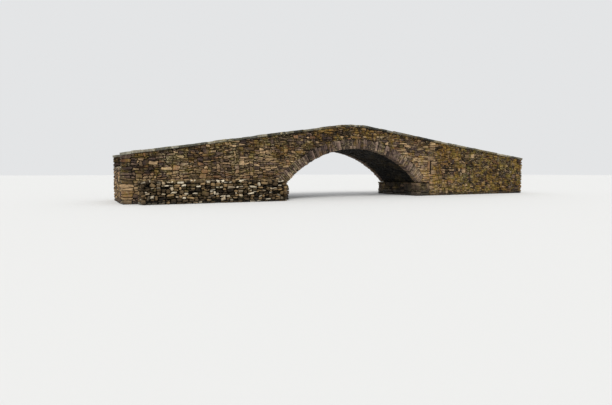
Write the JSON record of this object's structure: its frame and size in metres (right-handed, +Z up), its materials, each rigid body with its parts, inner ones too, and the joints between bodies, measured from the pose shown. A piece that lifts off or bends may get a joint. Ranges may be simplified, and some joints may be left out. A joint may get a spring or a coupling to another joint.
{
  "type": "packhorse bridge",
  "caption": "Single-arch rubble masonry bridge with a ramped road between low parapets, and a dry-stone river wall.",
  "frame": {"origin": "middle of the whole outline, on the level that the bridge stands on; mid-span is 0.6 m towards -X and 0.4275 m towards +Y from it", "axes": "+X along the bridge towards the longer ramp, +Y across it away from the river wall, +Z up"},
  "size_m": [27.6, 5.145, 4.3294],
  "materials": {
    "wall_stone": "rubble in flat courses with open joints, lichen and moss",
    "arch_stone": "thin split arch stones, dark under the arch",
    "coping_stone": "flat weathered slabs with pale lichen",
    "footing_stone": "rough blocks, wet and dark at the foot",
    "river_wall_stone": "dry-laid field stones, wet and dark at the foot",
    "packed_rubble": "packed small rubble",
    "road_surface": "worn pitched stones with packed grit"
  },
  "bodies": {
    "root": {"left_plinth": "footing_stone", "right_plinth": "footing_stone", "left_abutment": "wall_stone", "right_abutment": "wall_stone", "front_left_arch_ring": "arch_stone", "front_crown_arch_ring": "arch_stone", "front_right_arch_ring": "arch_stone", "left_arch_barrel": "arch_stone", "crown_arch_barrel": "arch_stone", "right_arch_barrel": "arch_stone", "back_left_arch_ring": "arch_stone", "back_crown_arch_ring": "arch_stone", "back_right_arch_ring": "arch_stone", "front_left_spandrel_wall": "wall_stone", "front_right_spandrel_wall": "wall_stone", "back_left_spandrel_wall": "wall_stone", "back_right_spandrel_wall": "wall_stone", "front_left_wing_wall": "wall_stone", "front_right_wing_wall": "wall_stone", "back_left_wing_wall": "wall_stone", "back_right_wing_wall": "wall_stone", "left_ramp_fill": "packed_rubble", "arch_fill": "packed_rubble", "right_ramp_fill": "packed_rubble", "left_roadway": "road_surface", "crest_roadway": "road_surface", "right_roadway": "road_surface", "front_left_parapet": "wall_stone", "front_crest_parapet": "wall_stone", "front_right_parapet": "wall_stone", "back_left_parapet": "wall_stone", "back_crest_parapet": "wall_stone", "back_right_parapet": "wall_stone", "front_left_coping": "coping_stone", "front_crest_coping": "coping_stone", "front_right_coping": "coping_stone", "back_left_coping": "coping_stone", "back_crest_coping": "coping_stone", "back_right_coping": "coping_stone", "river_wall": "river_wall_stone", "river_wall_backing": "packed_rubble"}
  },
  "joints": []
}
